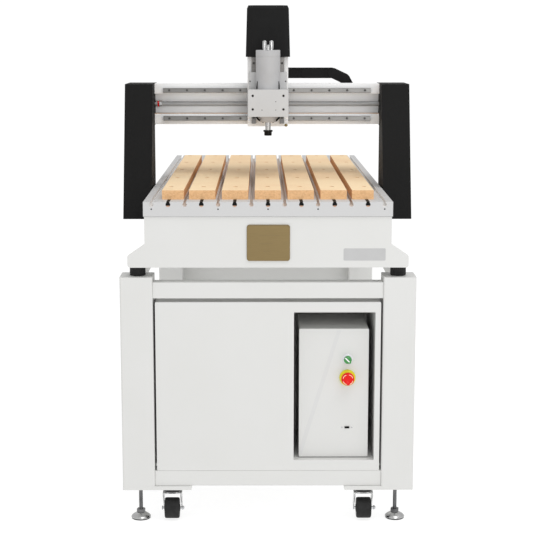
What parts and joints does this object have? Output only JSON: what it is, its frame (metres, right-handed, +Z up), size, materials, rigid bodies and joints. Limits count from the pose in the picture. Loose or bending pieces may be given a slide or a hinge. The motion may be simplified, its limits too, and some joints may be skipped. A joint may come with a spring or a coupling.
{
  "type": "cnc router",
  "caption": "Gantry router with a spindle on three powered axes over a T-slot table with wooden slats, on a wheeled steel stand with a control box.",
  "frame": {"origin": "on the floor, centred under the machine (bottom centre of the bounding box)", "axes": "+Z up; -Y is the front, where the operator stands and the gantry comes home; +X is the operator's right, the side with the control box"},
  "size_m": [0.944, 1.7, 1.597],
  "materials": {
    "white_powder_coat": "satin powder coat",
    "black_powder_coat": "fine textured powder coat",
    "anodised_aluminium": "clear anodised, fine extrusion grain",
    "ground_steel": "ground and hardened",
    "spindle_steel": "turned satin steel",
    "zinc_steel": "bright zinc plated",
    "black_oxide_steel": "black oxide",
    "mdf": "bare fibreboard, sanded face",
    "brass": "satin, lightly brushed",
    "black_rubber": "matte moulded",
    "black_plastic": "matte moulded",
    "grey_plastic": "satin moulded",
    "yellow_plastic": "gloss moulded",
    "red_plastic": "gloss moulded",
    "green_plastic": "gloss moulded"
  },
  "bodies": {
    "stand_and_base": {"stand_legs": "white_powder_coat", "stand_rails": "white_powder_coat", "foot_mount_plates": "white_powder_coat", "caster_heads": "black_plastic", "front_panel": "white_powder_coat", "rear_panel": "white_powder_coat", "control_bay": "white_powder_coat", "control_box": "white_powder_coat", "switch_bezel": "grey_plastic", "estop_collar": "yellow_plastic", "data_port": "black_plastic", "rubber_feet": "black_rubber", "base_shell": "white_powder_coat", "base_beams": "white_powder_coat", "table_plate": "anodised_aluminium", "spoilboard_slats": "mdf", "table_fasteners": "zinc_steel", "nameplate": "brass", "y_rails": "ground_steel", "y_motors": "black_powder_coat"},
    "levelling_foot_fl": {"foot_fl": "zinc_steel"},
    "levelling_foot_fr": {"foot_fr": "zinc_steel"},
    "levelling_foot_rl": {"foot_rl": "zinc_steel"},
    "levelling_foot_rr": {"foot_rr": "zinc_steel"},
    "y_screw_left": {"y_screw_left": "ground_steel"},
    "y_screw_right": {"y_screw_right": "ground_steel"},
    "selector": {"selector_knob": "green_plastic"},
    "estop": {"estop_button": "red_plastic"},
    "caster_swivel_fl": {"caster_fork_fl": "zinc_steel"},
    "caster_swivel_fr": {"caster_fork_fr": "zinc_steel"},
    "caster_swivel_rl": {"caster_fork_rl": "zinc_steel"},
    "caster_swivel_rr": {"caster_fork_rr": "zinc_steel"},
    "caster_roller_fl": {"caster_wheel_fl": "black_rubber"},
    "caster_roller_fr": {"caster_wheel_fr": "black_rubber"},
    "caster_roller_rl": {"caster_wheel_rl": "black_rubber"},
    "caster_roller_rr": {"caster_wheel_rr": "black_rubber"},
    "gantry": {"cheek_left": "black_powder_coat", "cheek_right": "black_powder_coat", "gantry_beam": "anodised_aluminium", "x_rails": "ground_steel", "x_motor": "black_powder_coat", "y_trucks": "anodised_aluminium", "chain_tray": "black_powder_coat"},
    "cross_screw": {"x_screw": "ground_steel", "coupling_spider": "red_plastic"},
    "x_carriage": {"z_base_plate": "anodised_aluminium", "x_blocks": "ground_steel", "z_rails": "ground_steel", "z_motor": "black_powder_coat", "z_hood": "black_powder_coat", "grease_fitting": "brass", "chain_run": "black_plastic"},
    "chain_loop": {"chain_bend": "black_plastic"},
    "head_screw": {"z_screw": "ground_steel"},
    "z_carriage": {"z_carriage_plate": "anodised_aluminium", "spindle_clamp": "anodised_aluminium", "spindle_body": "spindle_steel", "spindle_fittings": "spindle_steel"},
    "spindle_rotor": {"spindle_shaft": "ground_steel", "collet_nut": "black_oxide_steel"}
  },
  "joints": [
    {"name": "gantry_slide", "type": "slide", "parent": "stand_and_base", "child": "gantry", "axis": [0, 1, 0], "range_m": [-0.345, 0.955]},
    {"name": "y_screw_left_spin", "type": "hinge", "parent": "stand_and_base", "child": "y_screw_left", "pos_m": [-0.268, 0, 0.895], "axis": [0, 1, 0], "continuous": true},
    {"name": "y_screw_right_spin", "type": "hinge", "parent": "stand_and_base", "child": "y_screw_right", "pos_m": [0.268, 0, 0.895], "axis": [0, 1, 0], "continuous": true},
    {"name": "x_slide", "type": "slide", "parent": "gantry", "child": "x_carriage", "axis": [1, 0, 0], "range_m": [-0.28, 0.28]},
    {"name": "x_screw_spin", "type": "hinge", "parent": "gantry", "child": "cross_screw", "pos_m": [0, -0.254, 1.271], "axis": [1, 0, 0], "continuous": true},
    {"name": "chain_shift", "type": "slide", "parent": "x_carriage", "child": "chain_loop", "axis": [1, 0, 0], "range_m": [-0.14, 0.14], "deforming": ["chain_run"]},
    {"name": "z_slide", "type": "slide", "parent": "x_carriage", "child": "z_carriage", "axis": [0, 0, 1], "range_m": [-0.085, 0.045]},
    {"name": "z_screw_spin", "type": "hinge", "parent": "x_carriage", "child": "head_screw", "pos_m": [0.0025, -0.325, 1.305], "axis": [0, 0, 1], "continuous": true},
    {"name": "spindle_spin", "type": "hinge", "parent": "z_carriage", "child": "spindle_rotor", "pos_m": [0.0025, -0.398, 1.205], "axis": [0, 0, 1], "continuous": true},
    {"name": "estop_press", "type": "slide", "parent": "stand_and_base", "child": "estop", "axis": [0, 1, 0], "range_m": [0, 0.005], "stiffness_N_per_m": 800, "springref_m": -0.002},
    {"name": "selector_turn", "type": "hinge", "parent": "stand_and_base", "child": "selector", "pos_m": [0.245, -0.83, 0.515], "axis": [0, 1, 0], "range_deg": [0, 90]},
    {"name": "foot_height_fl", "type": "slide", "parent": "stand_and_base", "child": "levelling_foot_fl", "axis": [0, 0, -1], "range_m": [0, 0.02]},
    {"name": "caster_swivel_turn_fl", "type": "hinge", "parent": "stand_and_base", "child": "caster_swivel_fl", "pos_m": [-0.3, -0.788, 0.1], "axis": [0, 0, 1], "continuous": true},
    {"name": "caster_wheel_roll_fl", "type": "hinge", "parent": "caster_swivel_fl", "child": "caster_roller_fl", "pos_m": [-0.3, -0.81, 0.0355], "axis": [1, 0, 0], "continuous": true},
    {"name": "foot_height_fr", "type": "slide", "parent": "stand_and_base", "child": "levelling_foot_fr", "axis": [0, 0, -1], "range_m": [0, 0.02]},
    {"name": "caster_swivel_turn_fr", "type": "hinge", "parent": "stand_and_base", "child": "caster_swivel_fr", "pos_m": [0.3, -0.788, 0.1], "axis": [0, 0, 1], "continuous": true},
    {"name": "caster_wheel_roll_fr", "type": "hinge", "parent": "caster_swivel_fr", "child": "caster_roller_fr", "pos_m": [0.3, -0.81, 0.0355], "axis": [1, 0, 0], "continuous": true},
    {"name": "foot_height_rl", "type": "slide", "parent": "stand_and_base", "child": "levelling_foot_rl", "axis": [0, 0, -1], "range_m": [0, 0.02]},
    {"name": "caster_swivel_turn_rl", "type": "hinge", "parent": "stand_and_base", "child": "caster_swivel_rl", "pos_m": [-0.3, 0.788, 0.1], "axis": [0, 0, 1], "continuous": true},
    {"name": "caster_wheel_roll_rl", "type": "hinge", "parent": "caster_swivel_rl", "child": "caster_roller_rl", "pos_m": [-0.3, 0.81, 0.0355], "axis": [1, 0, 0], "continuous": true},
    {"name": "foot_height_rr", "type": "slide", "parent": "stand_and_base", "child": "levelling_foot_rr", "axis": [0, 0, -1], "range_m": [0, 0.02]},
    {"name": "caster_swivel_turn_rr", "type": "hinge", "parent": "stand_and_base", "child": "caster_swivel_rr", "pos_m": [0.3, 0.788, 0.1], "axis": [0, 0, 1], "continuous": true},
    {"name": "caster_wheel_roll_rr", "type": "hinge", "parent": "caster_swivel_rr", "child": "caster_roller_rr", "pos_m": [0.3, 0.81, 0.0355], "axis": [1, 0, 0], "continuous": true}
  ],
  "couplings": [
    {"joint": "y_screw_left_spin", "follows": "gantry_slide", "rad_per_m": 628.32},
    {"joint": "y_screw_right_spin", "follows": "gantry_slide", "rad_per_m": 628.32},
    {"joint": "x_screw_spin", "follows": "x_slide", "rad_per_m": 628.32},
    {"joint": "chain_shift", "follows": "x_slide", "ratio": -0.5},
    {"joint": "z_screw_spin", "follows": "z_slide", "rad_per_m": 1256.6}
  ]
}
